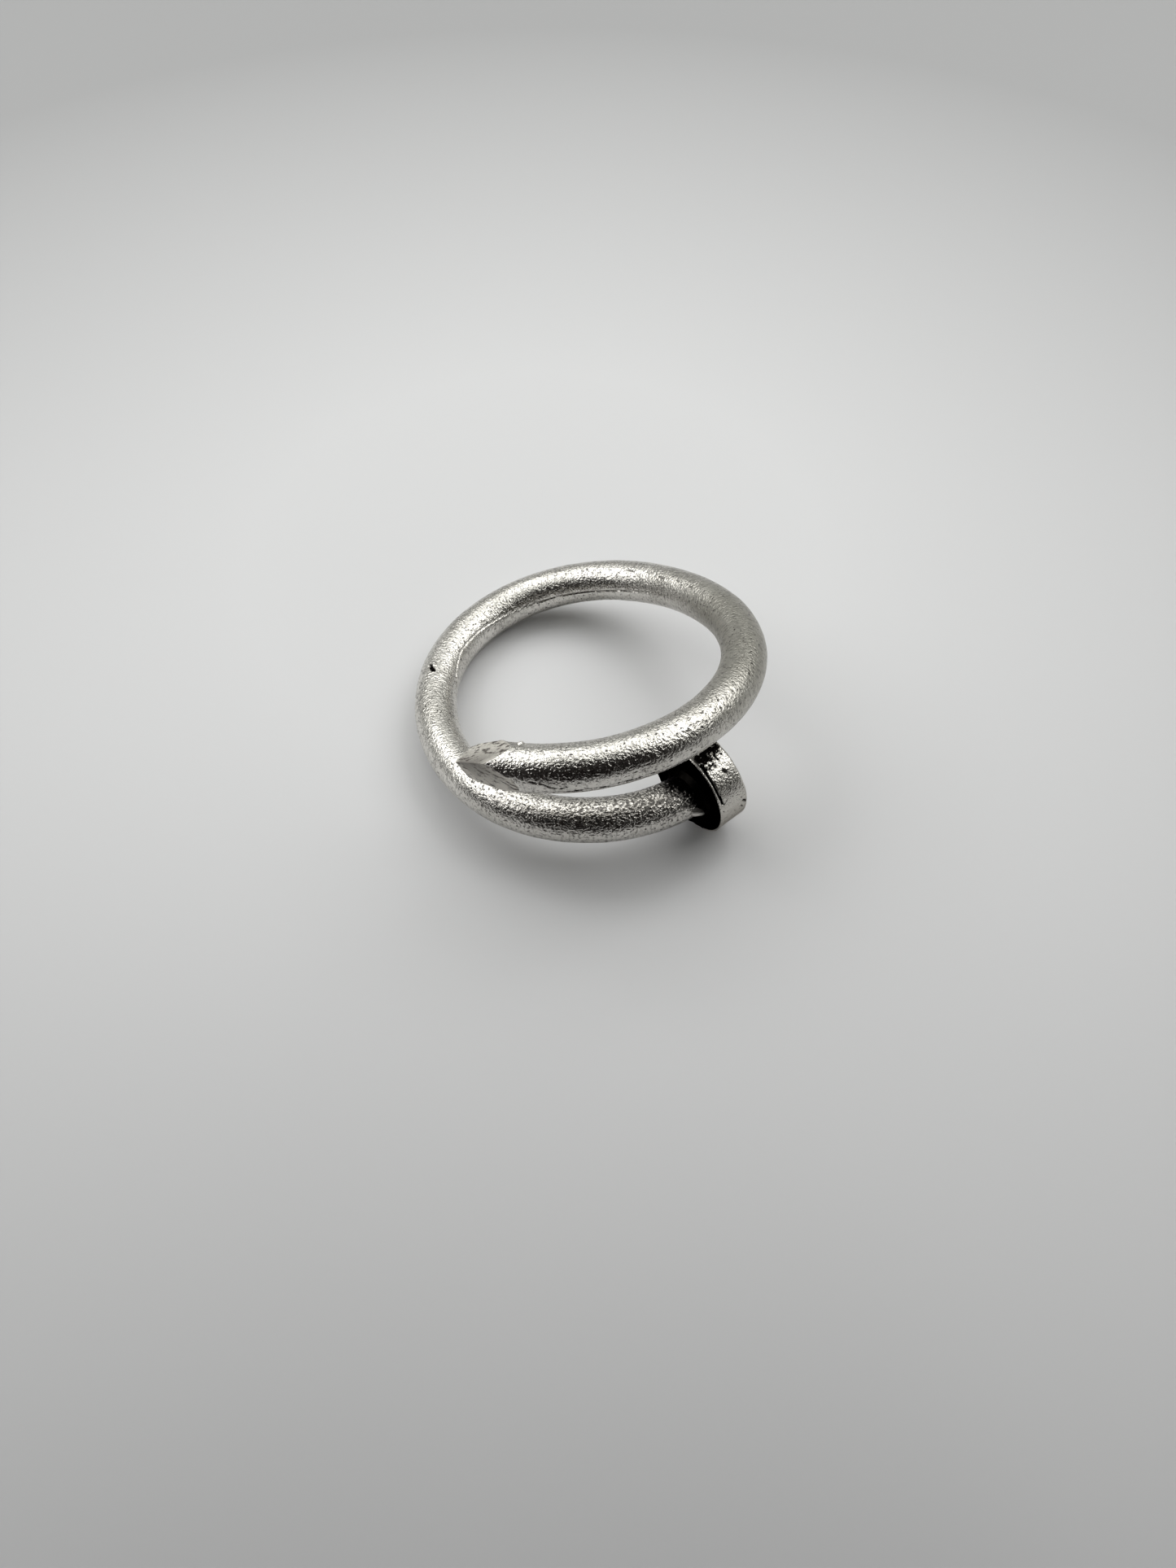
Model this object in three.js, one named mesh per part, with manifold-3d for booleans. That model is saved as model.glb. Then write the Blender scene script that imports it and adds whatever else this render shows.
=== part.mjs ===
// Open finger ring made from one bent nail, in cast and darkened silver: a round shank that goes once round
// the finger and on past its own start, a faceted point on its upper end, and a flat disc head soldered on
// its lower end. The two ends pass each other with a gap between them. Millimetres and degrees, +Z up.
// The ring lies on a level surface in the way it comes to rest there, on the rim of the head and on the
// back of the shank. The origin is on that surface, under the middle of the ring's box, and the two ends
// pass each other on the -Y side.

import * as THREE from 'three';
import { ConvexHull } from 'three/addons/math/ConvexHull.js';
import { mergeVertices } from 'three/addons/utils/BufferGeometryUtils.js';
import Module from 'manifold-3d';

// Shank: the wire and how it is wound. Turns are counted from the head end, along the wire.
const WIRE_DIAMETER = 2.76;
const FINGER_DIAMETER = 18; // mean inside diameter
const WRAP = 406; // turn of the bent part of the wire
const OVAL = 0.62; // how much further out the ring runs at the ends of its long axis
const OVAL_TURN = 6.5; // where the long axis crosses the wire
const THREE_LOBE = 0.12; // a slower waviness left by bending in three pulls
const THREE_LOBE_TURN = 69.7;
const SPREAD = 2.24; // how much further out the point end runs than the head end
const STRAND_GAP = 3.29; // clear gap, along the finger, between the head end and the point end
const SAG = 3.28; // how far both ends drop below an even helix
const END_KICK = 4.6; // how sharply the ends turn away from each other
const HEAD_LEAD = 1.1; // straight wire under the head
const POINT_LEAD = 4; // straight wire that carries the point

// Point: two facets that meet on a ridge between the outer and the upper side, and a short third one behind.
const RIDGE_LENGTH = 2.1; // from the apex to where the ridge reaches the round wire
const UPPER_FLANK_LENGTH = 2.6; // from the apex to where the upper facet runs out at the side
const LOWER_FLANK_LENGTH = 3.4; // the same for the lower facet
const HEEL_LENGTH = 0.4; // the same, behind
const RIDGE_TURN = 45; // from the outer side towards the upper side

// Head: a flat disc, a little off centre and not quite square to the wire.
const HEAD_DIAMETER = 6.4;
const HEAD_THICKNESS = 2.14;
const INNER_EDGE = 0.08; // chamfer on the side of the wire
const OUTER_EDGE = 0.22; // chamfer on the far side
const HEAD_SHIFT_IN = 0.33;
const HEAD_SHIFT_UP = 0.29;
const HEAD_PITCH = 12.8;
const HEAD_YAW = -1.3;

// Solder joint: the wire stands in a blind seat in the head, and a fillet of solder runs round it.
const SEAT_FLOOR = 0.95; // metal left between the seat and the far side of the head
const SOLDER_GAP = 0.25; // clearance between wire, head and solder
const FILLET_LEG = 0.55; // how far the solder spreads over the head
const FILLET_HEIGHT = 0.6; // how far it climbs the wire
const FILLET_LIP = 0.12; // its thickness at the top

// Fineness of the round surfaces
const WIRE_SIDES = 20;
const WIRE_STEPS = 104;
const HEAD_SIDES = 48;

const { degToRad } = THREE.MathUtils;
const UP = new THREE.Vector3(0, 0, 1);
const wireRadius = WIRE_DIAMETER / 2;
const bendRadius = FINGER_DIAMETER / 2 + wireRadius;
const seatDepth = HEAD_THICKNESS - SEAT_FLOOR;
const seatRadius = wireRadius + SOLDER_GAP;

const silver = new THREE.MeshStandardMaterial({ color: 0xb9b4a9, metalness: 1, roughness: 0.36 });
const darkSilver = new THREE.MeshStandardMaterial({ color: 0x6f6b66, metalness: 1, roughness: 0.5 });
const solderAlloy = new THREE.MeshStandardMaterial({ color: 0x8d8a84, metalness: 1, roughness: 0.3 });

const wasm = await Module();
wasm.setup();

function toSolid(geometry) {
  const bare = geometry.clone();
  bare.deleteAttribute('normal');
  bare.deleteAttribute('uv');
  const merged = mergeVertices(bare, 1e-4);
  return new wasm.Manifold(new wasm.Mesh({
    numProp: 3,
    vertProperties: merged.attributes.position.array,
    triVerts: Uint32Array.from(merged.index.array),
  }));
}

function toGeometry(solid) {
  const { vertProperties, triVerts } = solid.getMesh();
  const geometry = new THREE.BufferGeometry();
  geometry.setAttribute('position', new THREE.BufferAttribute(vertProperties, 3));
  geometry.setIndex(new THREE.BufferAttribute(triVerts, 1));
  geometry.computeVertexNormals();
  return geometry;
}

// A turned solid on the Z axis. The profile is a list of [radius, height], from low to high.
function turned(profile, sides) {
  const points = profile.map(([radius, height]) => new THREE.Vector2(radius, height));
  return new THREE.LatheGeometry(points, sides).rotateX(Math.PI / 2);
}

function rod(radius, from, to) {
  return turned([[0, from], [radius, from], [radius, to], [0, to]], WIRE_SIDES * 2);
}

// The bent part of the wire's centre line, in the ring's own frame: the finger goes along Z, and the wire
// climbs as it goes clockwise, seen from above. share runs from 0 at the head end to 1 at the point end.
function bentPoint(share) {
  const turn = degToRad(WRAP) * share;
  const fromMiddle = share - 0.5;
  const radius = bendRadius
    + OVAL * Math.cos(2 * (turn - degToRad(OVAL_TURN)))
    + THREE_LOBE * Math.cos(3 * (turn - degToRad(THREE_LOBE_TURN)))
    + SPREAD * fromMiddle;
  const height = (WIRE_DIAMETER + STRAND_GAP) * fromMiddle
    - SAG * fromMiddle ** 2
    + END_KICK * fromMiddle ** 3;
  return new THREE.Vector3(radius * Math.cos(turn), -radius * Math.sin(turn), height);
}

// The direction in which the wire leaves the bent part, at the head end (0) or at the point end (1).
function endDirection(share) {
  const inside = share === 0 ? 1e-4 : 1 - 1e-4;
  return bentPoint(share).sub(bentPoint(inside)).normalize();
}

// The whole centre line: the bent part with a straight piece at each end.
class WireLine extends THREE.Curve {
  constructor(headLead, pointLead) {
    super();
    this.leads = [headLead, pointLead];
    this.bentLength = bendRadius * degToRad(WRAP);
  }

  getPoint(t, target = new THREE.Vector3()) {
    const [headLead, pointLead] = this.leads;
    const along = t * (headLead + this.bentLength + pointLead) - headLead;
    const share = THREE.MathUtils.clamp(along / this.bentLength, 0, 1);
    const past = Math.max(-along, along - this.bentLength, 0);
    return target.copy(bentPoint(share)).addScaledVector(endDirection(Math.round(share)), past);
  }
}

// A frame at one end of the wire: Z leaves along the wire, and Y is its upper side.
function endFrame(share, lead) {
  const z = endDirection(share);
  const y = UP.clone().projectOnPlane(z).normalize();
  const x = y.clone().cross(z);
  const origin = bentPoint(share).addScaledVector(z, lead);
  return new THREE.Matrix4().makeBasis(x, y, z).setPosition(origin);
}

// What one facet takes off the end of the wire: everything beyond the plane through the apex and two more
// points, in the point's frame, where X is the ridge, Y is a flank and the wire lies below the apex.
function facetCutter(first, second) {
  const plane = new THREE.Plane().setFromCoplanarPoints(new THREE.Vector3(), first, second);
  const normal = plane.normal.z < 0 ? plane.normal.negate() : plane.normal;
  const size = 4 * LOWER_FLANK_LENGTH + 4 * WIRE_DIAMETER;
  const block = new THREE.BoxGeometry(size, size, size).translate(0, 0, size / 2);
  block.applyQuaternion(new THREE.Quaternion().setFromUnitVectors(UP, normal));
  return toSolid(block);
}

function makeShank(pointFrame) {
  const section = new THREE.Shape().absarc(0, 0, wireRadius, 0, 2 * Math.PI);
  const path = new WireLine(HEAD_LEAD + seatDepth - SOLDER_GAP, POINT_LEAD);
  const wire = new THREE.ExtrudeGeometry(section, {
    steps: WIRE_STEPS,
    curveSegments: WIRE_SIDES / 2,
    extrudePath: path,
  });

  const ridge = new THREE.Vector3(wireRadius, 0, -RIDGE_LENGTH);
  const heel = new THREE.Vector3(-wireRadius, 0, -HEEL_LENGTH);
  const upperFlank = new THREE.Vector3(0, wireRadius, -UPPER_FLANK_LENGTH);
  const lowerFlank = new THREE.Vector3(0, -wireRadius, -LOWER_FLANK_LENGTH);
  const acrossHeel = new THREE.Vector3(0, 1, 0);
  const sleeve = toSolid(rod(wireRadius + SOLDER_GAP, -1.5 * LOWER_FLANK_LENGTH, LOWER_FLANK_LENGTH));
  const waste = facetCutter(ridge, upperFlank)
    .add(facetCutter(ridge, lowerFlank))
    .add(facetCutter(heel, acrossHeel))
    .intersect(sleeve);
  const place = pointFrame.clone().multiply(new THREE.Matrix4().makeRotationZ(degToRad(RIDGE_TURN)));
  return toGeometry(toSolid(wire).subtract(toSolid(toGeometry(waste).applyMatrix4(place))));
}

// The head's own frame inside the frame of the wire's end: its Z axis is the axis of the disc.
function headTilt() {
  const turn = new THREE.Euler(degToRad(-HEAD_PITCH), degToRad(HEAD_YAW), 0, 'YXZ');
  return new THREE.Matrix4().makeRotationFromEuler(turn);
}

function makeHead() {
  const radius = HEAD_DIAMETER / 2;
  const disc = turned([
    [0, 0],
    [radius - INNER_EDGE, 0],
    [radius, INNER_EDGE],
    [radius, HEAD_THICKNESS - OUTER_EDGE],
    [radius - OUTER_EDGE, HEAD_THICKNESS],
    [0, HEAD_THICKNESS],
  ], HEAD_SIDES);
  disc.translate(HEAD_SHIFT_IN, HEAD_SHIFT_UP, 0).applyMatrix4(headTilt());
  const seat = rod(seatRadius, -HEAD_THICKNESS, seatDepth);
  return toGeometry(toSolid(disc).subtract(toSolid(seat)));
}

function makeSolderFillet() {
  const climb = turned([
    [0, -FILLET_HEIGHT - SOLDER_GAP],
    [seatRadius + FILLET_LIP, -FILLET_HEIGHT - SOLDER_GAP],
    [seatRadius + FILLET_LEG, -SOLDER_GAP],
    [seatRadius + FILLET_LEG, HEAD_THICKNESS],
    [0, HEAD_THICKNESS],
  ], HEAD_SIDES);
  const size = 2 * HEAD_DIAMETER;
  const overHead = new THREE.BoxGeometry(size, size, size).translate(0, 0, size / 2 - SOLDER_GAP);
  overHead.applyMatrix4(headTilt());
  const roundWire = rod(seatRadius, -HEAD_DIAMETER, HEAD_DIAMETER);
  return toGeometry(toSolid(climb).subtract(toSolid(overHead)).subtract(toSolid(roundWire)));
}

function named(name, geometry, material) {
  const mesh = new THREE.Mesh(geometry, material);
  mesh.name = name;
  return mesh;
}

// Volume and centre of mass of a closed mesh, as the sum of its tetrahedra on the origin.
function massOf(mesh) {
  const solid = mesh.geometry.clone().applyMatrix4(mesh.matrixWorld);
  const corner = (i) => new THREE.Vector3().fromBufferAttribute(solid.attributes.position, solid.index.getX(i));
  const centre = new THREE.Vector3();
  let volume = 0;
  for (let i = 0; i < solid.index.count; i += 3) {
    const [a, b, c] = [corner(i), corner(i + 1), corner(i + 2)];
    const part = a.dot(b.clone().cross(c)) / 6;
    volume += part;
    centre.addScaledVector(a.add(b).add(c), part / 4);
  }
  return { volume, centre: centre.divideScalar(volume) };
}

function faceHolds(face, point) {
  const edges = [0, 1, 2].map((i) => face.getEdge(i));
  return edges.every((edge) => {
    const along = edge.head().point.clone().sub(edge.tail().point);
    return along.cross(point.clone().sub(edge.tail().point)).dot(face.normal) >= 0;
  });
}

// The turn that lays the ring on a level surface, head side down: a rigid body comes to rest on the face of
// its convex hull that its centre of mass is over, and among those this is the one with that centre lowest.
function restingTurn(ring) {
  ring.updateMatrixWorld(true);
  const masses = ring.children.map(massOf);
  const total = masses.reduce((sum, { volume }) => sum + volume, 0);
  const centre = new THREE.Vector3();
  masses.forEach(({ volume, centre: own }) => centre.addScaledVector(own, volume / total));

  const depth = (face) => -face.distanceToPoint(centre);
  const underside = new ConvexHull().setFromObject(ring).faces
    .filter((face) => face.normal.z < 0 && faceHolds(face, centre))
    .sort((one, other) => depth(one) - depth(other))[0];
  return new THREE.Quaternion().setFromUnitVectors(underside.normal, UP.clone().negate());
}

// The turn about +Z that brings the middle of the passing ends to the -Y side.
function frontTurn(laid) {
  const passing = (WRAP - 360) / 2 / WRAP;
  const front = bentPoint(passing).setZ(0).applyQuaternion(laid).setZ(0).normalize();
  return new THREE.Quaternion().setFromUnitVectors(front, new THREE.Vector3(0, -1, 0));
}

const ring = new THREE.Group();
ring.add(named('shank', makeShank(endFrame(1, POINT_LEAD)), silver));
const headPieces = [named('head', makeHead(), darkSilver), named('solder_fillet', makeSolderFillet(), solderAlloy)];
for (const piece of headPieces) {
  piece.applyMatrix4(endFrame(0, HEAD_LEAD));
  ring.add(piece);
}

const laid = restingTurn(ring);
ring.quaternion.copy(frontTurn(laid).multiply(laid));
ring.updateMatrixWorld(true);
const box = new THREE.Box3().setFromObject(ring, true);
const middle = box.getCenter(new THREE.Vector3());
ring.position.set(-middle.x, -middle.y, -box.min.z);

export default ring;
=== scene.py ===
"""A finger ring bent from one silver nail, lying on a pale table. Metres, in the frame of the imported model.

The nail is modelled straight, along +X from its seat in the head to its point. Its +Y side becomes the
outside of the ring and its +Z side the upper side. Then it is bent round the finger and laid on the table.
"""

import math

import bpy
import numpy as np
from mathutils import Matrix, Vector


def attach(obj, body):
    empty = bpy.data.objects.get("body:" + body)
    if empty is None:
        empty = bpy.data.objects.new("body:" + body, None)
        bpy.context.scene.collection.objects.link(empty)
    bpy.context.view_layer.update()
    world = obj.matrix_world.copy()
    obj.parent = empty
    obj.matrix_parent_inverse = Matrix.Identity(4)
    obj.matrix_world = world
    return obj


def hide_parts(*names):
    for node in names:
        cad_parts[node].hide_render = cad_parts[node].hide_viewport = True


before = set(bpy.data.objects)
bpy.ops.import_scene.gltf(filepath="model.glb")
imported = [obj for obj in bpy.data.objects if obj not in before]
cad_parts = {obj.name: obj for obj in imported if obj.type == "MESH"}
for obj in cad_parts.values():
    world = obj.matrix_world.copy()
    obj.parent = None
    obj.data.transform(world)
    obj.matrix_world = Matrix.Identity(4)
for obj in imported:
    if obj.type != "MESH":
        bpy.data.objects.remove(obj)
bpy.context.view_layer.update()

MM = 0.001
SAME_PLACE = 0.001 * MM  # places no further apart than this are taken as one

# The wire and how it is wound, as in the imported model. Turns are counted from the head end.
WIRE_RADIUS = 1.38 * MM
BEND_RADIUS = 9 * MM + WIRE_RADIUS
WRAP = math.radians(406)
OVAL = 0.62 * MM
OVAL_TURN = math.radians(6.5)
THREE_LOBE = 0.12 * MM
THREE_LOBE_TURN = math.radians(69.7)
SPREAD = 2.24 * MM
CLIMB = 2 * WIRE_RADIUS + 3.29 * MM
SAG = 3.28 * MM
END_KICK = 4.6 * MM
HEAD_LEAD = 1.1 * MM
POINT_LEAD = 4 * MM
CENTRE_STEPS = 600

# The point: two facets that meet on a ridge, and a short third one behind, all through the apex.
RIDGE_LENGTH = 2.1 * MM
UPPER_FLANK_LENGTH = 2.6 * MM
LOWER_FLANK_LENGTH = 3.4 * MM
HEEL_LENGTH = 0.4 * MM
RIDGE_TURN = math.radians(45)

# The head: a flat disc, a little off centre and not quite square to the wire.
HEAD_RADIUS = 3.2 * MM
HEAD_THICKNESS = 2.14 * MM
INNER_EDGE = 0.08 * MM
OUTER_EDGE = 0.22 * MM
HEAD_SHIFT = Vector((0.33, 0.29, 0)) * MM
HEAD_PITCH = math.radians(-12.8)
HEAD_YAW = math.radians(-1.3)
WIRE_IN_HEAD = 0.94 * MM

# How the ring lies: the turn from the finger's own frame, X last, and where its middle is then.
REST_TURN = [(-14.275143, "X"), (-6.953988, "Y"), (-67.0, "Z")]
REST_PLACE = Vector((-0.603398, 0.100016, 4.787081)) * MM

# Camera: close above the ring, on the side where the two ends pass each other.
CAMERA_PLACE = Vector((-9.388, -44.797, 57.994)) * MM
CAMERA_AZIMUTH = 12.13
CAMERA_ELEVATION = 54.96
CAMERA_ROLL = -0.49
SENSOR = 36.0
LENS = 24.96


def make_camera():
    data = bpy.data.cameras.new("camera")
    data.sensor_width = SENSOR
    data.lens = LENS
    data.clip_start = 1 * MM
    data.clip_end = 10
    camera = bpy.data.objects.new("camera", data)
    bpy.context.scene.collection.objects.link(camera)
    azimuth, elevation = math.radians(-CAMERA_AZIMUTH), math.radians(CAMERA_ELEVATION)
    turn = Matrix.Rotation(azimuth, 4, "Z") @ Matrix.Rotation(math.pi / 2 - elevation, 4, "X")
    turn = turn @ Matrix.Rotation(math.radians(CAMERA_ROLL), 4, "Z")
    camera.matrix_world = Matrix.Translation(CAMERA_PLACE) @ turn
    bpy.context.scene.camera = camera


# ---------------------------------------------------------------- the nail's centre line


def bent_point(share):
    """A place on the bent part of the centre line. share is 0 at the head end and 1 at the point end."""
    turn = WRAP * share
    from_middle = share - 0.5
    radius = BEND_RADIUS + SPREAD * from_middle
    radius += OVAL * math.cos(2 * (turn - OVAL_TURN))
    radius += THREE_LOBE * math.cos(3 * (turn - THREE_LOBE_TURN))
    height = CLIMB * from_middle - SAG * from_middle**2 + END_KICK * from_middle**3
    return Vector((radius * math.cos(turn), -radius * math.sin(turn), height))


def end_direction(share):
    inside = 1e-4 if share == 0 else 1 - 1e-4
    return (bent_point(share) - bent_point(inside)).normalized()


def end_frame(share, lead):
    """A frame at one end of the wire: Z leaves along the wire, and Y is its upper side."""
    along = end_direction(share)
    up = Vector((0, 0, 1))
    up = (up - along * up.dot(along)).normalized()
    turn = Matrix((up.cross(along), up, along)).transposed().to_4x4()
    return Matrix.Translation(bent_point(share) + along * lead) @ turn


def centre_line():
    """Places along the whole centre line, from the end in the head to the apex."""
    places = [bent_point(0) + end_direction(0) * (HEAD_LEAD + WIRE_IN_HEAD)]
    places += [bent_point(step / CENTRE_STEPS) for step in range(CENTRE_STEPS + 1)]
    places.append(bent_point(1) + end_direction(1) * POINT_LEAD)
    return places


def rest_matrix():
    turn = Matrix.Identity(4)
    for angle, axis in REST_TURN:
        turn = turn @ Matrix.Rotation(math.radians(angle), 4, axis)
    return Matrix.Translation(REST_PLACE) @ turn


NAIL_PATH = centre_line()
NAIL_LENGTH = sum((b - a).length for a, b in zip(NAIL_PATH, NAIL_PATH[1:]))
REST = rest_matrix()
HEAD_FRAME = end_frame(0, HEAD_LEAD)
HEAD_TILT = Matrix.Rotation(HEAD_YAW, 4, "Y") @ Matrix.Rotation(HEAD_PITCH, 4, "X")


# ---------------------------------------------------------------- hand tools

MARK_BORDER = 0.1 * MM  # the mesh is also made finer this far beside a mark
MARK_STEEPNESS = 1.3  # above 1, so that a mark has a flat bottom
WEIGHT_STEPS = 32


def places_of(piece):
    flat = np.empty(len(piece.data.vertices) * 3)
    piece.data.vertices.foreach_get("co", flat)
    return flat.reshape(-1, 3)


def select_only(piece, kind, wanted):
    """Goes into edit mode with only the wanted vertices, edges or faces selected: one True or False each."""
    bpy.ops.object.mode_set(mode="EDIT")
    bpy.ops.mesh.select_mode(type={"vertices": "VERT", "edges": "EDGE", "polygons": "FACE"}[kind])
    bpy.ops.mesh.select_all(action="DESELECT")
    bpy.ops.object.mode_set(mode="OBJECT")
    getattr(piece.data, kind).foreach_set("select", wanted)
    bpy.ops.object.mode_set(mode="EDIT")


def face_middles(piece):
    flat = np.empty(len(piece.data.polygons) * 3)
    piece.data.polygons.foreach_get("center", flat)
    return flat.reshape(-1, 3)


def face_normals(piece):
    flat = np.empty(len(piece.data.polygons) * 3)
    piece.data.polygons.foreach_get("normal", flat)
    return flat.reshape(-1, 3)


def edge_ends(piece):
    """The places of both ends of each edge."""
    pairs = np.empty(len(piece.data.edges) * 2, int)
    piece.data.edges.foreach_get("vertices", pairs)
    return places_of(piece)[pairs.reshape(-1, 2)]


def start_piece(name):
    """Names the primitive that was just added, and keeps its place in its mesh."""
    piece = bpy.context.object
    piece.name = name
    piece.data.name = name
    bpy.ops.object.transform_apply(location=True, rotation=True, scale=True)
    return piece


def apply_modifier(piece, kind, **settings):
    modifier = piece.modifiers.new(kind.lower(), kind)
    for name, value in settings.items():
        setattr(modifier, name, value)
    bpy.ops.object.modifier_apply(modifier=modifier.name)


def paint_group(piece, name, weights):
    """A vertex group whose weights come from an array, rounded to a few steps."""
    group = piece.vertex_groups.new(name=name)
    steps = np.rint(np.clip(weights, 0, 1) * WEIGHT_STEPS).astype(int)
    for step in range(1, WEIGHT_STEPS + 1):
        group.add(np.flatnonzero(steps == step).tolist(), step / WEIGHT_STEPS, "REPLACE")
    return name


def paint_attribute(piece, name, values):
    """Keeps one number or one place for each vertex, for the materials."""
    kind = "FLOAT" if values.ndim == 1 else "FLOAT_VECTOR"
    attribute = piece.data.attributes.new(name, kind, "POINT")
    attribute.data.foreach_set("value" if values.ndim == 1 else "vector", values.astype(np.float32).ravel())


def roughen(piece, name, grain, height, group=""):
    """Moves the surface in and out along its normals by half the height, in lumps of the grain's size."""
    texture = bpy.data.textures.new(name, "CLOUDS")
    texture.noise_scale = grain
    texture.noise_depth = 2
    apply_modifier(piece, "DISPLACE", texture=texture, strength=height, mid_level=0.5, vertex_group=group)


def distance_to_line(line, along, angle, radius):
    """How far places on a round surface are from a line of (mm along, degrees round), over the surface."""
    nearest = np.full(len(along), np.inf)
    for (start, start_turn), (end, end_turn) in zip(line, line[1:]):
        turn = (angle - math.radians(start_turn) + np.pi) % (2 * np.pi) - np.pi
        spot = np.column_stack([along - start * MM, turn * radius])
        bend = (end_turn - start_turn + 180) % 360 - 180
        step = np.array([(end - start) * MM, math.radians(bend) * radius])
        share = np.clip(spot @ step / (step @ step), 0, 1)
        nearest = np.minimum(nearest, np.hypot(*(spot - share[:, None] * step).T))
    return nearest


def depth_of(lines, deepest, along, angle, radius):
    """The depth of the lines at each place, as a share of the deepest."""
    depth = np.zeros(len(along))
    for line, half_width, height in lines:
        near = 1 - distance_to_line(line, along, angle, radius) / (half_width * MM)
        depth = np.maximum(depth, np.clip(near * MARK_STEEPNESS, 0, 1) * height * MM / deepest)
    return depth


def beside(lines, along, angle, radius):
    """True for each place that is on one of the lines or close beside it."""
    close = np.zeros(len(along), bool)
    for line, half_width, _ in lines:
        close |= distance_to_line(line, along, angle, radius) < half_width * MM + MARK_BORDER
    return close


def put_in_place(piece, place):
    """Moves a piece, and then keeps its place in its mesh."""
    piece.matrix_world = place
    bpy.ops.object.select_all(action="DESELECT")
    piece.select_set(True)
    bpy.context.view_layer.objects.active = piece
    bpy.ops.object.transform_apply(location=True, rotation=True, scale=True)


# ---------------------------------------------------------------- the shank

WIRE_SIDES = 80
RING_CUTS = 24  # twice over, which leaves a ring of vertices about every 0.12 mm
POINT_CUTS = 24
FACET_GRID = 0.09 * MM
IN_FACET = 0.999  # a face lies in a cut when the cosine between their directions is above this
LONG_EDGE = 0.5 * MM  # in the point, only edges longer than this are divided lengthwise
ROUND_SHARE = 0.985  # a vertex nearer the middle than this share of the radius isn't on the round wire

# Marks left by casting, bending and wear. Each line runs through places on the wire, given by the distance
# from the apex in mm and by the angle from the outer side towards the upper side, then half its width and
# its depth in mm.
MARKS = [
    ([(54.35, 80), (54.55, 86), (54.8, 93)], 0.17, 0.3),  # a gas hole on the left
    ([(57.5, 196), (56.4, 191), (54.4, 163), (52.2, 146)], 0.08, 0.06),  # the seam inside the ring
    ([(52.2, 146), (49.4, 154), (46.8, 165), (43.8, 175), (40.9, 178)], 0.08, 0.06),
    ([(40.9, 178), (38.1, 179), (35.1, 174), (33.6, 168)], 0.09, 0.06),
    ([(36.2, 112), (35.6, 116)], 0.09, 0.06),  # small pits along the back
    ([(34.4, 110), (34.1, 115)], 0.07, 0.05),
    ([(33.2, 119), (32.8, 122)], 0.1, 0.07),
    ([(31.6, 112), (31.3, 117)], 0.07, 0.05),
    ([(30.2, 118), (29.9, 115)], 0.06, 0.05),
    ([(18.6, 338), (17.8, 335), (16.7, 330), (15.9, 326), (15.2, 318)], 0.09, 0.07),  # a lap line
    ([(5.0, 329), (6.5, 334), (7.7, 333), (10.1, 337), (11.6, 340)], 0.07, 0.05),
    ([(1.4, 22), (1.62, 19), (2.18, 17), (2.45, 9), (2.72, 11)], 0.08, 0.16),  # a crack below the ridge
    ([(4.7, 12), (5.31, 4), (5.75, 352), (6.2, 349), (6.5, 356), (6.3, 4)], 0.06, 0.05),  # a curled scratch
    ([(2.06, 84), (2.3, 98), (2.58, 114)], 0.06, 0.05),
    ([(0.2, 45), (1.2, 45), (2.2, 43), (2.6, 38)], 0.05, 0.1),  # the line where the two facets meet
    ([(3.1, 118), (3.5, 113)], 0.35, 0.05),  # a hollow behind the flank
]
# Lines that stand proud, given in the same way.
BURRS = [
    ([(3.75, 112), (3.9, 119)], 0.16, 0.12),
    ([(2.5, 128), (2.65, 143)], 0.3, 0.06),
]
# Black covers the wire from its end in the head: oxide, with painted shade under the upper strand. It goes
# further along the upper side and stops low down.
OXIDE_SHADE_REACH = 2.5 * MM
OXIDE_SHADE_REACH_ABOVE = 1.2 * MM
OXIDE_SHADE_FADE = 1.5 * MM
OXIDE_SHADE_LOWEST = -0.75 * MM
OXIDE_SHADE_RISE = 0.9 * MM
DEEPEST_MARK = 0.3 * MM
HIGHEST_BURR = 0.15 * MM
BLACK_DEPTH = 0.14 * MM  # a mark this deep holds its oxide fully


def facet_normals():
    """The outward directions of the three cuts that make the point, on the straight nail."""
    ridge = Vector((0, math.cos(RIDGE_TURN), math.sin(RIDGE_TURN))) * WIRE_RADIUS
    flank = Vector((0, -math.sin(RIDGE_TURN), math.cos(RIDGE_TURN))) * WIRE_RADIUS
    along = Vector((1, 0, 0))
    on_ridge = ridge - along * RIDGE_LENGTH
    on_heel = -ridge - along * HEEL_LENGTH
    cuts = [
        on_ridge.cross(flank - along * UPPER_FLANK_LENGTH),
        on_ridge.cross(-flank - along * LOWER_FLANK_LENGTH),
        on_heel.cross(flank),
    ]
    return [cut.normalized() * math.copysign(1, cut.x) for cut in cuts], ridge, flank


def is_facet(piece, normals):
    facing = face_normals(piece) @ np.array([list(normal) for normal in normals]).T
    return facing.max(axis=1) > IN_FACET


def cut_point(shank):
    normals, ridge, flank = facet_normals()
    apex = Vector((NAIL_LENGTH, 0, 0))
    bpy.ops.object.mode_set(mode="EDIT")
    for normal in normals:
        bpy.ops.mesh.select_all(action="SELECT")
        bpy.ops.mesh.bisect(plane_co=apex, plane_no=normal, use_fill=True, clear_outer=True)
    bpy.ops.object.mode_set(mode="OBJECT")
    for across in (ridge, flank):
        cuts = round(2 * WIRE_RADIUS / FACET_GRID)
        for cut in range(1, cuts):
            place = apex + across * (2 * cut / cuts - 1)
            select_only(shank, "polygons", is_facet(shank, normals))
            bpy.ops.mesh.bisect(plane_co=place, plane_no=across)
            bpy.ops.object.mode_set(mode="OBJECT")
    return normals


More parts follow.
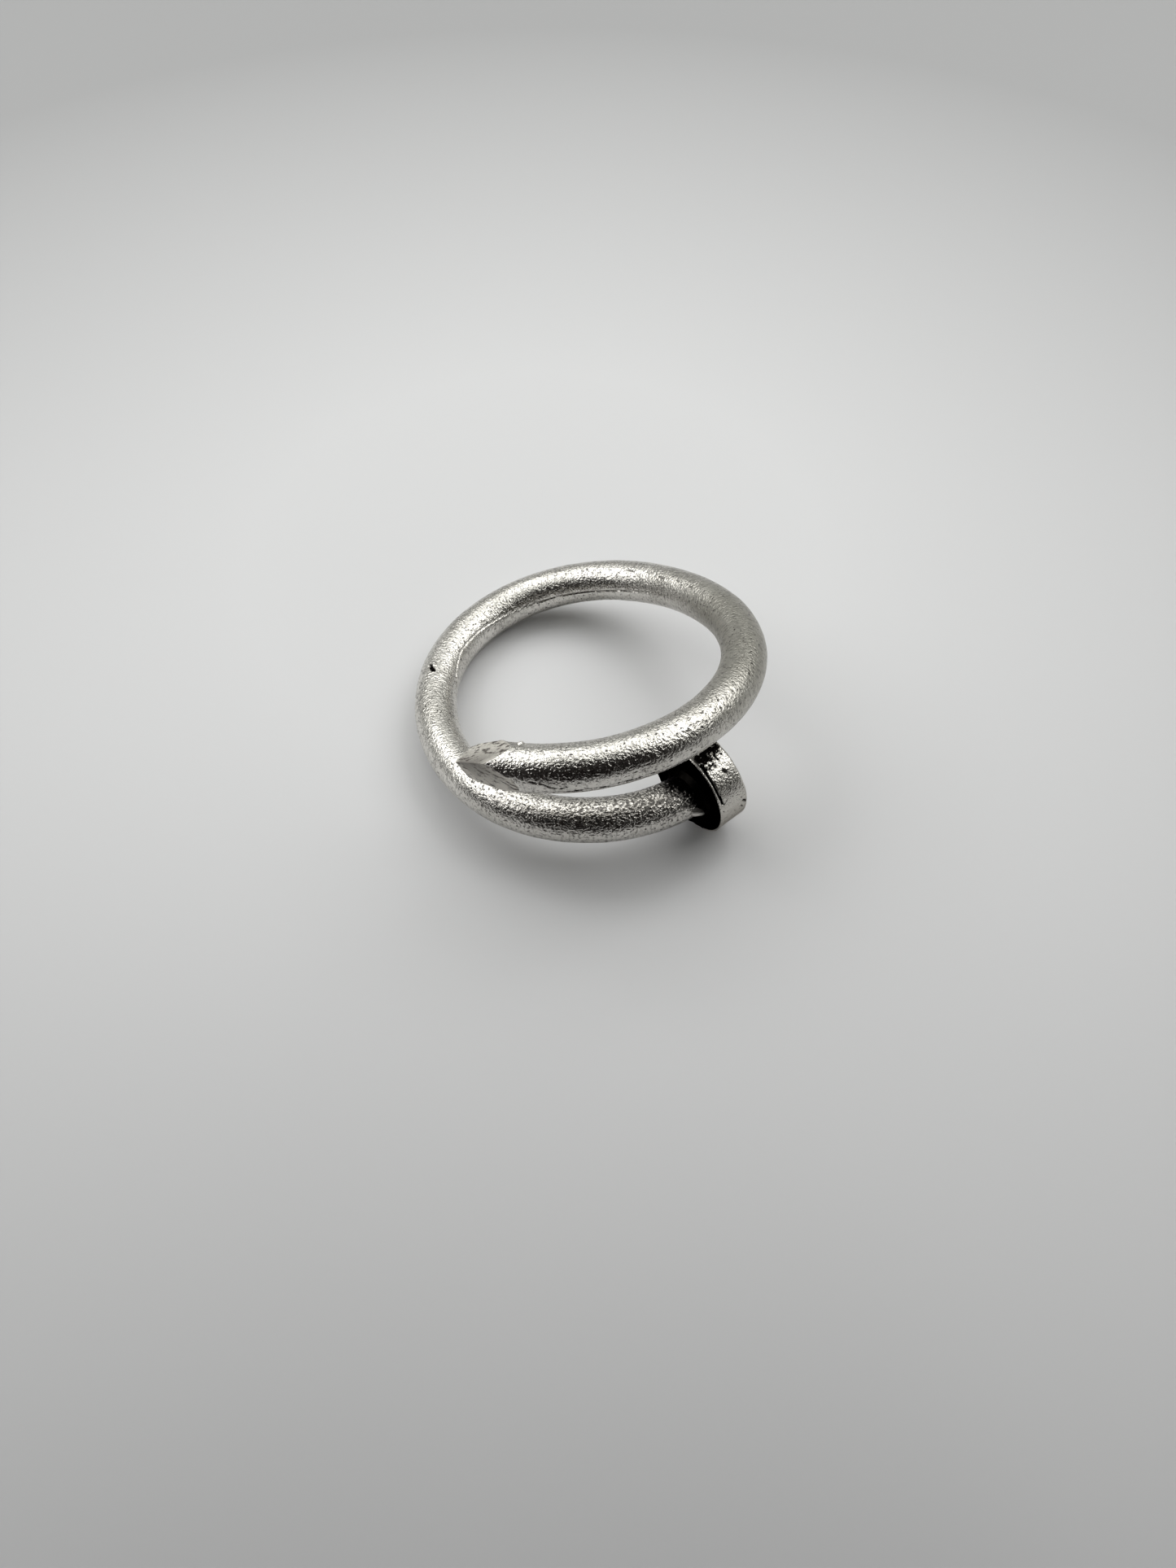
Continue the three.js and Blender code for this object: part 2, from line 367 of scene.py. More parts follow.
def ring_the_wire(shank):
    """Divides the round wire lengthwise, finely and evenly up to the point."""
    bpy.ops.object.mode_set(mode="EDIT")
    bpy.ops.mesh.select_all(action="SELECT")
    bpy.ops.mesh.bisect(plane_co=(NAIL_LENGTH - POINT_LEAD, 0, 0), plane_no=(1, 0, 0))
    bpy.ops.object.mode_set(mode="OBJECT")
    ends = edge_ends(shank)[:, :, 0]
    in_point = ends.min(axis=1) > NAIL_LENGTH - POINT_LEAD - SAME_PLACE
    in_point &= np.ptp(ends, axis=1) > LONG_EDGE
    select_only(shank, "edges", in_point)
    bpy.ops.mesh.subdivide(number_cuts=POINT_CUTS)
    bpy.ops.object.mode_set(mode="OBJECT")
    for shortest in (NAIL_LENGTH / 2, NAIL_LENGTH / 2 / RING_CUTS):
        select_only(shank, "edges", np.ptp(edge_ends(shank)[:, :, 0], axis=1) > shortest)
        bpy.ops.mesh.subdivide(number_cuts=RING_CUTS)
        bpy.ops.object.mode_set(mode="OBJECT")


def rolled_out(places):
    """Distance from the apex, and angle from the outer side towards the upper side, on the straight nail."""
    return NAIL_LENGTH - places[:, 0], np.arctan2(places[:, 2], places[:, 1]), WIRE_RADIUS


def refine_marks(shank):
    """Gives the faces on and beside the marks a finer mesh, so that narrow marks keep their shape."""
    select_only(shank, "polygons", beside(MARKS + BURRS, *rolled_out(face_middles(shank))))
    bpy.ops.mesh.subdivide(number_cuts=1)
    bpy.ops.object.mode_set(mode="OBJECT")


def soften_facet_border(shank, normals):
    """Rounds the border between the facets and the round wire, as wear does."""
    facet = is_facet(shank, normals)
    sides = [set(), set()]
    for polygon, is_flat in zip(shank.data.polygons, facet):
        sides[int(is_flat)].update(polygon.vertices)
    border = np.zeros(len(shank.data.vertices), bool)
    border[list(sides[0] & sides[1])] = True
    select_only(shank, "vertices", border)
    bpy.ops.mesh.vertices_smooth(factor=0.5, repeat=4)
    bpy.ops.object.mode_set(mode="OBJECT")


def nail_bend():
    """The curve that the straight nail is bent along."""
    data = bpy.data.curves.new("nail_bend", "CURVE")
    data.dimensions = "3D"
    data.twist_mode = "Z_UP"
    spline = data.splines.new("POLY")
    spline.points.add(len(NAIL_PATH) - 1)
    for point, place in zip(spline.points, NAIL_PATH):
        point.co = (*place, 1)
    bend = bpy.data.objects.new("nail_bend", data)
    bpy.context.scene.collection.objects.link(bend)
    return bend


def make_shank(silver, pinched):
    bpy.ops.object.select_all(action="DESELECT")
    bpy.ops.mesh.primitive_cylinder_add(
        vertices=WIRE_SIDES,
        radius=WIRE_RADIUS,
        depth=NAIL_LENGTH,
        location=(NAIL_LENGTH / 2, 0, 0),
        rotation=(0, math.pi / 2, 0),
    )
    shank = start_piece("bent_nail_shank")
    normals = cut_point(shank)
    ring_the_wire(shank)
    refine_marks(shank)
    shank.data.materials.append(silver)
    shank.data.materials.append(pinched)
    shank.data.polygons.foreach_set("material_index", is_facet(shank, normals).astype(np.int32))

    soften_facet_border(shank, normals)
    straight = places_of(shank)
    inside_round = np.hypot(straight[:, 1], straight[:, 2]) < WIRE_RADIUS * ROUND_SHARE
    on_facet = (inside_round & (straight[:, 0] > NAIL_LENGTH - POINT_LEAD)).astype(float)
    pressed = depth_of(MARKS, DEEPEST_MARK, *rolled_out(straight))
    raised = depth_of(BURRS, HIGHEST_BURR, *rolled_out(straight))
    # The black near the head: oxide, plus painted shade on the upper side, where the upper strand passes over
    # it.
    upper_side = np.clip(straight[:, 2] / WIRE_RADIUS, 0, 1)
    oxide_shade_end = OXIDE_SHADE_REACH + OXIDE_SHADE_REACH_ABOVE * upper_side**2
    oxide_shade = np.clip((oxide_shade_end - straight[:, 0]) / OXIDE_SHADE_FADE, 0, 1)
    oxide_shade *= np.clip((straight[:, 2] - OXIDE_SHADE_LOWEST) / OXIDE_SHADE_RISE, 0, 1)
    paint_attribute(shank, "oxide_and_shade", oxide_shade)
    paint_attribute(shank, "straight", straight)
    paint_attribute(shank, "pressed", np.clip(pressed * DEEPEST_MARK / BLACK_DEPTH, 0, 1))
    marks = paint_group(shank, "marks", pressed)
    burrs = paint_group(shank, "burrs", raised)
    facets = paint_group(shank, "facets", on_facet)
    apply_modifier(shank, "DISPLACE", strength=-DEEPEST_MARK, mid_level=0, vertex_group=marks)
    apply_modifier(shank, "DISPLACE", strength=HIGHEST_BURR, mid_level=0, vertex_group=burrs)
    roughen(shank, "forging_waves", grain=3.2 * MM, height=0.07 * MM)
    roughen(shank, "casting_skin", grain=0.5 * MM, height=0.022 * MM)
    roughen(shank, "torn_facets", grain=0.5 * MM, height=0.14 * MM, group=facets)

    bend = nail_bend()
    apply_modifier(shank, "CURVE", object=bend, deform_axis="POS_X")
    bpy.data.objects.remove(bend)
    put_in_place(shank, REST)
    bpy.ops.object.shade_smooth_by_angle(angle=math.radians(32))
    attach(shank, "root")
    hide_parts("shank")


# ---------------------------------------------------------------- the head

HEAD_SIDES = 144
RIM_CUTS = 15
FACE_STEP = 0.14 * MM
INNER_FACE_STEPS = 11
OUTER_FACE_STEPS = 20
SEAT_DEPTH = 1.19 * MM
SEAT_CLEARANCE = 0.02 * MM
RIM_SHARE = 0.97  # the rim is what lies further out than this share of the radius
RIM_FADE = 0.02
FACING_INWARDS = -0.7
BLACK_BORDER = 0.05 * MM  # the black of the inner face ends this far from the edge

# On the rim: mm from the inner face, degrees from the inner side of the ring towards the upper side, then
# half the width and the depth in mm.
RIM_MARKS = [
    ([(0.26, 122), (0.2, 135), (0.18, 150), (0.22, 165), (0.26, 172)], 0.09, 0.13),  # a lap behind the burr
    ([(0.75, 119), (1.3, 126)], 0.05, 0.05),  # scratches
    ([(0.6, 126), (0.95, 132)], 0.06, 0.06),
    ([(1.5, 108), (1.9, 112)], 0.09, 0.08),
    ([(1.2, 139), (1.3, 143)], 0.1, 0.08),
    ([(1.75, 186), (2.05, 192)], 0.1, 0.1),
]
DEEPEST_RIM_MARK = 0.2 * MM
RIM_MARK_OXIDE = 3  # even a third of that depth is black
# The burr round the inner edge. It is thickest at one side of the head.
BURR_HEIGHT = 0.07 * MM
BURR_WIDTH = 0.09 * MM
BURR_TURN = math.radians(165)
BURR_EVENNESS = 0.75
BURR_SWING = 0.6
# The black on the rim, in degrees: oxide, with painted shade beneath the upper strand. It lies under the
# point, and reaches furthest beside the inner face.
RIM_OXIDE_SHADE_START = -10
RIM_OXIDE_SHADE_RISE = 40
RIM_OXIDE_SHADE_END = 142
RIM_OXIDE_SHADE_SLOPE = 6  # degrees for each mm away from the inner face
RIM_OXIDE_SHADE_FADE = 18
RIM_OXIDE_SHADE_HEIGHT = 2.15 * MM
RIM_OXIDE_SHADE_TOP_FADE = 0.3 * MM


def rim_places(places):
    """Distance from the inner face, and angle round the rim, of places on the head."""
    return places[:, 2], np.arctan2(places[:, 1], places[:, 0]), HEAD_RADIUS


def inset_to(head, height, steps):
    """Rings one end face of the head with narrow insets, working inwards from the edge."""
    select_only(head, "polygons", np.abs(face_middles(head)[:, 2] - height) < SAME_PLACE)
    for _ in range(steps):
        bpy.ops.mesh.inset(thickness=FACE_STEP)
    bpy.ops.object.mode_set(mode="OBJECT")


def bevel_ring(head, height, width, segments):
    """Rounds the head's edge at one height."""
    ends = edge_ends(head)[:, :, 2]
    select_only(head, "edges", np.abs(ends - height).max(axis=1) < SAME_PLACE)
    bpy.ops.mesh.bevel(offset=width, segments=segments, profile=0.5, affect="EDGES")
    bpy.ops.object.mode_set(mode="OBJECT")


def cut_seat(head, place):
    """Bores the blind seat that the wire stands in. The wire isn't square to the head, so the bore isn't."""
    bpy.ops.object.select_all(action="DESELECT")
    depth = SEAT_DEPTH + HEAD_RADIUS
    bpy.ops.mesh.primitive_cylinder_add(
        vertices=WIRE_SIDES,
        radius=WIRE_RADIUS + SEAT_CLEARANCE,
        depth=depth,
        location=(0, 0, SEAT_DEPTH - depth / 2),
    )
    drill = start_piece("seat_drill")
    put_in_place(drill, place.inverted())
    bpy.context.view_layer.objects.active = head
    apply_modifier(head, "BOOLEAN", object=drill, operation="DIFFERENCE", solver="EXACT")
    bpy.data.objects.remove(drill)


def make_head(black, rubbed):
    bpy.ops.object.select_all(action="DESELECT")
    bpy.ops.mesh.primitive_cylinder_add(
        vertices=HEAD_SIDES,
        radius=HEAD_RADIUS,
        depth=HEAD_THICKNESS,
        location=(0, 0, HEAD_THICKNESS / 2),
    )
    head = start_piece("nail_head")
    bevel_ring(head, height=HEAD_THICKNESS, width=OUTER_EDGE, segments=5)
    bevel_ring(head, height=0, width=INNER_EDGE, segments=3)
    select_only(head, "edges", np.ptp(edge_ends(head)[:, :, 2], axis=1) > HEAD_THICKNESS / 2)
    bpy.ops.mesh.subdivide(number_cuts=RIM_CUTS)
    bpy.ops.object.mode_set(mode="OBJECT")
    inset_to(head, 0, INNER_FACE_STEPS)
    inset_to(head, HEAD_THICKNESS, OUTER_FACE_STEPS)
    middles = face_middles(head)
    centre = np.hypot(*middles[:, :2].T) < SAME_PLACE
    select_only(head, "polygons", centre & (middles[:, 2] > HEAD_THICKNESS - SAME_PLACE))
    bpy.ops.mesh.poke()
    bpy.ops.object.mode_set(mode="OBJECT")

    middles = face_middles(head)
    on_rim = np.abs(middles[:, 2] - HEAD_THICKNESS / 2) < HEAD_THICKNESS / 2 - OUTER_EDGE / 2
    on_rim &= np.hypot(*middles[:, :2].T) > HEAD_RADIUS * RIM_SHARE
    select_only(head, "polygons", on_rim & beside(RIM_MARKS, *rim_places(middles)))
    bpy.ops.mesh.subdivide(number_cuts=1)
    bpy.ops.object.mode_set(mode="OBJECT")

    places = places_of(head)
    height, angle, radius = rim_places(places)
    out = np.hypot(places[:, 0], places[:, 1])
    on_rim = np.clip((out - RIM_SHARE * radius) / (RIM_FADE * radius), 0, 1)
    pressed = depth_of(RIM_MARKS, DEEPEST_RIM_MARK, height, angle, radius) * on_rim
    burr = np.clip(1 - height / BURR_WIDTH, 0, 1) * on_rim
    burr *= np.clip(BURR_EVENNESS + BURR_SWING * np.cos(angle - BURR_TURN), 0, 1)
    # Black painted on the rim under the point: oxide and painted shade beneath the upper strand.
    degrees = np.degrees(angle)
    oxide_shade = np.clip((RIM_OXIDE_SHADE_END - RIM_OXIDE_SHADE_SLOPE * height / MM - degrees) / RIM_OXIDE_SHADE_FADE, 0, 1)
    oxide_shade *= np.clip((degrees - RIM_OXIDE_SHADE_START) / RIM_OXIDE_SHADE_RISE, 0, 1)
    oxide_shade *= np.clip((RIM_OXIDE_SHADE_HEIGHT - height) / RIM_OXIDE_SHADE_TOP_FADE, 0, 1) * on_rim
    paint_attribute(head, "pressed", np.clip(pressed * RIM_MARK_OXIDE, 0, 1))
    paint_attribute(head, "burr", burr)
    paint_attribute(head, "oxide_and_shade", oxide_shade)
    marks = paint_group(head, "marks", pressed)
    lip = paint_group(head, "lip", burr)
    apply_modifier(head, "DISPLACE", strength=-DEEPEST_RIM_MARK, mid_level=0, vertex_group=marks)
    apply_modifier(head, "DISPLACE", strength=BURR_HEIGHT, mid_level=0, vertex_group=lip)
    roughen(head, "hammered_face", grain=1.6 * MM, height=0.06 * MM)
    roughen(head, "pitted_skin", grain=0.4 * MM, height=0.035 * MM)
    place = HEAD_TILT @ Matrix.Translation(HEAD_SHIFT)
    cut_seat(head, place)
    head.data.materials.clear()
    head.data.materials.append(rubbed)
    head.data.materials.append(black)
    inner = np.hypot(*face_middles(head)[:, :2].T) < HEAD_RADIUS - BLACK_BORDER
    inner &= face_normals(head)[:, 2] < FACING_INWARDS
    head.data.polygons.foreach_set("material_index", inner.astype(np.int32))
    put_in_place(head, REST @ HEAD_FRAME @ place)
    bpy.ops.object.shade_smooth_by_angle(angle=math.radians(38))
    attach(head, "root")
    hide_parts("head")


# ---------------------------------------------------------------- the solder

SOLDER_RADIUS = 0.5 * MM
SOLDER_CLIMB = 0.85 * MM
SOLDER_CORNER = Vector((WIRE_RADIUS + 0.08 * MM, 0, 0.05 * MM))
SOLDER_HOLLOW = 0.2 * MM  # how far the corner side of the section is pushed in, to make it a fillet
SOLDER_HOLLOW_REACH = 0.45 * MM
CREST = 0.01 * MM
SOLDER_SECTION = 28
SOLDER_STEPS = 120
BEAD_TURN = math.radians(190)
BEAD_PLACE = np.array([1.55 * math.cos(BEAD_TURN), 1.55 * math.sin(BEAD_TURN), -0.78]) * MM
BEAD_SIZE = 0.42 * MM
BEAD_STRETCH = [1, 1, 0.7]  # below 1 makes it longer that way
BEAD_TOP = 1.2  # above 1, so that its top is flat
BEAD_HEIGHT = 0.2 * MM
BEAD_LEAN = 0.3 * MM  # how far the bead lies on along the wire
BEAD_LEAN_REACH = 0.35 * MM


def make_solder(material):
    """The fillet of solder in the corner between wire and head, with one bead left standing on it."""
    bpy.ops.object.select_all(action="DESELECT")
    bpy.ops.mesh.primitive_circle_add(
        vertices=SOLDER_SECTION,
        radius=SOLDER_RADIUS,
        location=SOLDER_CORNER,
        rotation=(math.pi / 2, 0, 0),
    )
    solder = start_piece("solder_ring")
    bpy.ops.object.mode_set(mode="EDIT")
    bpy.ops.transform.resize(value=(1, 1, SOLDER_CLIMB / SOLDER_RADIUS))
    bpy.ops.object.mode_set(mode="OBJECT")
    bulge = places_of(solder) @ np.array([1, 0, -1])
    select_only(solder, "vertices", bulge > bulge.max() - CREST)
    bpy.ops.transform.translate(
        value=(-SOLDER_HOLLOW, 0, SOLDER_HOLLOW),
        use_proportional_edit=True,
        proportional_edit_falloff="SMOOTH",
        proportional_size=SOLDER_HOLLOW_REACH,
    )
    bpy.ops.mesh.select_all(action="SELECT")
    bpy.ops.mesh.bisect(plane_co=(WIRE_RADIUS, 0, 0), plane_no=(-1, 0, 0), clear_outer=True)
    bpy.ops.object.mode_set(mode="OBJECT")
    select_only(solder, "vertices", np.abs(places_of(solder)[:, 0] - WIRE_RADIUS) < SAME_PLACE)
    bpy.ops.mesh.edge_face_add()
    bpy.ops.mesh.select_all(action="SELECT")
    bpy.ops.mesh.spin(steps=SOLDER_STEPS, angle=2 * math.pi, center=(0, 0, 0), axis=(0, 0, 1))
    bpy.ops.mesh.select_all(action="SELECT")
    bpy.ops.mesh.remove_doubles(threshold=0.002 * MM)
    face_normal = (HEAD_TILT.to_3x3() @ Vector((0, 0, 1))).normalized()
    bpy.ops.mesh.bisect(plane_co=(0, 0, 0), plane_no=face_normal, clear_outer=True)
    bpy.ops.mesh.select_mode(type="EDGE")
    bpy.ops.mesh.select_all(action="DESELECT")
    bpy.ops.mesh.select_non_manifold()
    bpy.ops.mesh.bridge_edge_loops()
    bpy.ops.mesh.select_all(action="SELECT")
    bpy.ops.mesh.normals_make_consistent(inside=False)
    bpy.ops.object.mode_set(mode="OBJECT")

    from_bead = np.linalg.norm((places_of(solder) - BEAD_PLACE) * BEAD_STRETCH, axis=1)
    bead = np.clip(BEAD_TOP - from_bead / BEAD_SIZE, 0, 1)
    paint_attribute(solder, "bead", bead)
    lump = paint_group(solder, "bead", bead)
    apply_modifier(solder, "DISPLACE", strength=BEAD_HEIGHT, mid_level=0, vertex_group=lump)
    select_only(solder, "vertices", bead > 0.5)
    bpy.ops.transform.translate(
        value=(0, 0, -BEAD_LEAN),
        use_proportional_edit=True,
        proportional_edit_falloff="SMOOTH",
        proportional_size=BEAD_LEAN_REACH,
    )
    bpy.ops.object.mode_set(mode="OBJECT")
    roughen(solder, "frozen_solder", grain=0.55 * MM, height=0.12 * MM)
    solder.data.materials.append(material)
    put_in_place(solder, REST @ HEAD_FRAME)
    bpy.ops.object.shade_smooth_by_angle(angle=math.radians(50))
    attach(solder, "root")
    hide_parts("solder_fillet")


# ---------------------------------------------------------------- materials


def linear(hex_colour):
    """An sRGB hex colour as the linear one that the shader wants."""
    levels = [int(hex_colour[at : at + 2], 16) / 255 for at in (1, 3, 5)]
    return tuple(v / 12.92 if v <= 0.04045 else ((v + 0.055) / 1.055) ** 2.4 for v in levels) + (1.0,)


def add_node(owner, kind, inputs=None, **settings):
    """Adds one node to a material or the world. Each input gets a value, or the output that feeds it."""
    made = owner.node_tree.nodes.new(kind)
    for name, value in settings.items():
        setattr(made, name, value)
    for name, value in (inputs or {}).items():
        if isinstance(value, bpy.types.NodeSocket):
            owner.node_tree.links.new(value, made.inputs[name])
        else:
            made.inputs[name].default_value = value
    return made


def new_metal(name):
    material = bpy.data.materials.new(name)
    material.use_nodes = True
    shader = material.node_tree.nodes["Principled BSDF"]
    shader.inputs["Metallic"].default_value = 1
    return material, shader


# Where the finish changes along the wire: from the end in the head, or from the apex.
UNRUBBED_END = (4 * MM, 17 * MM)
MATTE_SIDE = 23 * MM
MATTE_REACH = (4 * MM, 11 * MM)

# The widths of the patterns on the wire. The tumbling dents are about 0.08 mm wide and are drawn nearly
# twice as wide, so that they show. The file and bending marks run round the wire, and are about three times
# as long as wide.
DENTS = 0.14 * MM
CASTING_GRAIN = 0.2 * MM
PATINA_CLOUDS = 2.6 * MM
OXIDE_DOTS = 0.17 * MM
STREAKS = 0.15 * MM
STREAK_STRETCH = (1, 0.34, 0.34)

# How much each of these adds to the dark pits, to the black, to the tone and to the surface's height, where
# every pattern runs from 0 to 1.
PATINA_PITS = 0.045
UNRUBBED_PITS = 0.17
OXIDE_SHADE_PITS = 0.3
OXIDE_SHADE_BREAK_UP = 1.6
MATTE_TINT = 0.7
UNRUBBED_TINT = 0.3
STREAK_HEIGHT = 0.55
PIT_HEIGHT = -0.6

BRIGHT_SILVER = "#E6E3DD"
PATINATED_SILVER = "#D4D1CA"
MATTE_SILVER = "#9F9C92"
UNRUBBED_SILVER = "#B4AEA8"
OXIDE = "#241F1D"
OXIDE_SHADE_BLACK = "#070606"


def satin_silver():
    """Sterling silver, cast, bent, oxidised and tumbled: a bright satin sparkle with dark pits between."""
    material, shader = new_metal("tumbled_sterling_silver")
    straight = add_node(material, "ShaderNodeAttribute", attribute_name="straight").outputs["Vector"]
    pressed = add_node(material, "ShaderNodeAttribute", attribute_name="pressed").outputs["Fac"]
    oxide_and_shade = add_node(material, "ShaderNodeAttribute", attribute_name="oxide_and_shade").outputs["Fac"]
    parted = add_node(material, "ShaderNodeSeparateXYZ", {"Vector": straight})
    along = parted.outputs["X"]

    # The end beside the head was rubbed least: it keeps more oxide and a coarser skin. This greyer, coarser
    # finish is kept to the upper side and fades out lower down.
    near, far = UNRUBBED_END
    unrubbed = add_node(
        material,
        "ShaderNodeMapRange",
        {"Value": along, "From Min": near, "From Max": far, "To Min": 1, "To Max": 0},
    ).outputs["Result"]
    upper = add_node(
        material,
        "ShaderNodeMapRange",
        {"Value": parted.outputs["Z"], "From Min": -0.3 * MM, "From Max": 1 * MM, "To Min": 0.15},
    ).outputs["Result"]
    unrubbed = add_node(material, "ShaderNodeMath", {0: unrubbed, 1: upper}, operation="MULTIPLY").outputs[0]
    # A patch about MATTE_SIDE from the apex has a darker, greyer tone and is rougher.
    from_side = add_node(
        material, "ShaderNodeMath", {0: along, 1: NAIL_LENGTH - MATTE_SIDE}, operation="SUBTRACT"
    ).outputs[0]
    from_side = add_node(material, "ShaderNodeMath", {0: from_side}, operation="ABSOLUTE").outputs[0]
    near, far = MATTE_REACH
    matte = add_node(
        material,
        "ShaderNodeMapRange",
        {"Value": from_side, "From Min": near, "From Max": far, "To Min": 1, "To Max": 0},
    ).outputs["Result"]

    dents = add_node(
        material, "ShaderNodeTexNoise", {"Vector": straight, "Scale": 1 / DENTS, "Detail": 2}
    ).outputs["Fac"]
    casting = add_node(
        material, "ShaderNodeTexNoise", {"Vector": straight, "Scale": 1 / CASTING_GRAIN, "Detail": 2}
    ).outputs["Fac"]
    clouds = add_node(
        material, "ShaderNodeTexNoise", {"Vector": straight, "Scale": 1 / PATINA_CLOUDS, "Detail": 3}
    ).outputs["Fac"]
    dots = add_node(
        material, "ShaderNodeTexNoise", {"Vector": straight, "Scale": 1 / OXIDE_DOTS, "Detail": 1}
    ).outputs["Fac"]
    around = add_node(
        material, "ShaderNodeVectorMath", {0: straight, 1: STREAK_STRETCH}, operation="MULTIPLY"
    ).outputs[0]
    streaks = add_node(
        material, "ShaderNodeTexNoise", {"Vector": around, "Scale": 1 / STREAKS, "Detail": 3}
    ).outputs["Fac"]

    # Dark is what holds oxide: pits, pressed marks and scratches.
    patina = add_node(
        material, "ShaderNodeMapRange", {"Value": clouds, "From Min": 0.35, "From Max": 0.68}
    ).outputs["Result"]
    cover = add_node(
        material, "ShaderNodeMath", {0: patina, 1: PATINA_PITS, 2: dots}, operation="MULTIPLY_ADD"
    ).outputs[0]
    cover = add_node(
        material, "ShaderNodeMath", {0: unrubbed, 1: UNRUBBED_PITS, 2: cover}, operation="MULTIPLY_ADD"
    ).outputs[0]
    # Near the head the oxide and painted shade add to the pits.
    cover = add_node(
        material, "ShaderNodeMath", {0: oxide_and_shade, 1: OXIDE_SHADE_PITS, 2: cover}, operation="MULTIPLY_ADD"
    ).outputs[0]
    pits = add_node(
        material, "ShaderNodeMapRange", {"Value": cover, "From Min": 0.6, "From Max": 0.78, "To Max": 0.8}
    ).outputs["Result"]
    scratches = add_node(
        material, "ShaderNodeMapRange", {"Value": streaks, "From Min": 0.5, "From Max": 0.68, "To Max": 0.42}
    ).outputs["Result"]
    dark = add_node(material, "ShaderNodeMath", {0: pits, 1: pressed}, operation="MAXIMUM").outputs[0]
    dark = add_node(material, "ShaderNodeMath", {0: dark, 1: scratches}, operation="MAXIMUM").outputs[0]
    # The oxide and painted shade near the head are black where there is much of them, and break up into dots
    # at their edge.
    black = add_node(
        material, "ShaderNodeMath", {0: dots, 1: OXIDE_SHADE_BREAK_UP, 2: oxide_and_shade}, operation="MULTIPLY_ADD"
    ).outputs[0]
    black = add_node(
        material, "ShaderNodeMapRange", {"Value": black, "From Min": 1.15, "From Max": 1.5}
    ).outputs["Result"]

    second_tone = add_node(material, "ShaderNodeMath", {0: matte, 1: MATTE_TINT}, operation="MULTIPLY").outputs[0]
    grey = add_node(
        material, "ShaderNodeMath", {0: unrubbed, 1: UNRUBBED_TINT}, operation="MULTIPLY"
    ).outputs[0]
    tone = add_node(
        material,
        "ShaderNodeMix",
        {0: patina, 6: linear(BRIGHT_SILVER), 7: linear(PATINATED_SILVER)},
        data_type="RGBA",
    ).outputs[2]
    for share, colour in ((second_tone, MATTE_SILVER), (grey, UNRUBBED_SILVER), (dark, OXIDE), (black, OXIDE_SHADE_BLACK)):
        tone = add_node(
            material, "ShaderNodeMix", {0: share, 6: tone, 7: linear(colour)}, data_type="RGBA"
        ).outputs[2]

    rough = add_node(material, "ShaderNodeMath", {0: dark, 1: matte}, operation="MAXIMUM").outputs[0]
    rough = add_node(
        material, "ShaderNodeMapRange", {"Value": rough, "To Min": 0.14, "To Max": 0.36}
    ).outputs["Result"]

    coarseness = add_node(
        material, "ShaderNodeMapRange", {"Value": unrubbed, "To Min": 0.18, "To Max": 0.5}
    ).outputs["Result"]
    height = add_node(
        material, "ShaderNodeMath", {0: casting, 1: coarseness, 2: dents}, operation="MULTIPLY_ADD"
    ).outputs[0]
    for pattern, share in ((streaks, STREAK_HEIGHT), (pits, PIT_HEIGHT)):
        height = add_node(
            material, "ShaderNodeMath", {0: pattern, 1: share, 2: height}, operation="MULTIPLY_ADD"
        ).outputs[0]
    bump = add_node(material, "ShaderNodeBump", {"Height": height, "Distance": 0.046 * MM})
    links = material.node_tree.links
    links.new(tone, shader.inputs["Base Color"])
    links.new(rough, shader.inputs["Roughness"])
    links.new(bump.outputs["Normal"], shader.inputs["Normal"])
    return material


def pinched_silver():
    """The same silver where the cutters pinched it: matte grey, torn fine, with oxide in the tears."""
    material, shader = new_metal("pinched_silver")
    straight = add_node(material, "ShaderNodeAttribute", attribute_name="straight").outputs["Vector"]
    pressed = add_node(material, "ShaderNodeAttribute", attribute_name="pressed").outputs["Fac"]
    grain = add_node(
        material, "ShaderNodeTexNoise", {"Vector": straight, "Scale": 1 / (0.14 * MM), "Detail": 3}
    ).outputs["Fac"]
    # The tears run along the nail, the way that the cutters were pulled.
    pulled = add_node(
        material, "ShaderNodeVectorMath", {0: straight, 1: (0.3, 1, 1)}, operation="MULTIPLY"
    ).outputs[0]
    tears = add_node(
        material, "ShaderNodeTexNoise", {"Vector": pulled, "Scale": 1 / (0.2 * MM), "Detail": 3}
    ).outputs["Fac"]
    deep_tears = add_node(
        material, "ShaderNodeMapRange", {"Value": tears, "From Min": 0.5, "From Max": 0.64}
    ).outputs["Result"]
    dark = add_node(material, "ShaderNodeMath", {0: deep_tears, 1: pressed}, operation="MAXIMUM").outputs[0]
    tone = add_node(
        material, "ShaderNodeMix", {0: dark, 6: linear("#E0DCD4"), 7: linear("#66605A")}, data_type="RGBA"
    )
    shader.inputs["Roughness"].default_value = 0.52
    height = add_node(material, "ShaderNodeMath", {0: grain, 1: tears}, operation="SUBTRACT").outputs[0]
    bump = add_node(material, "ShaderNodeBump", {"Height": height, "Distance": 0.17 * MM})
    links = material.node_tree.links
    links.new(tone.outputs[2], shader.inputs["Base Color"])
    links.new(bump.outputs["Normal"], shader.inputs["Normal"])
    return material


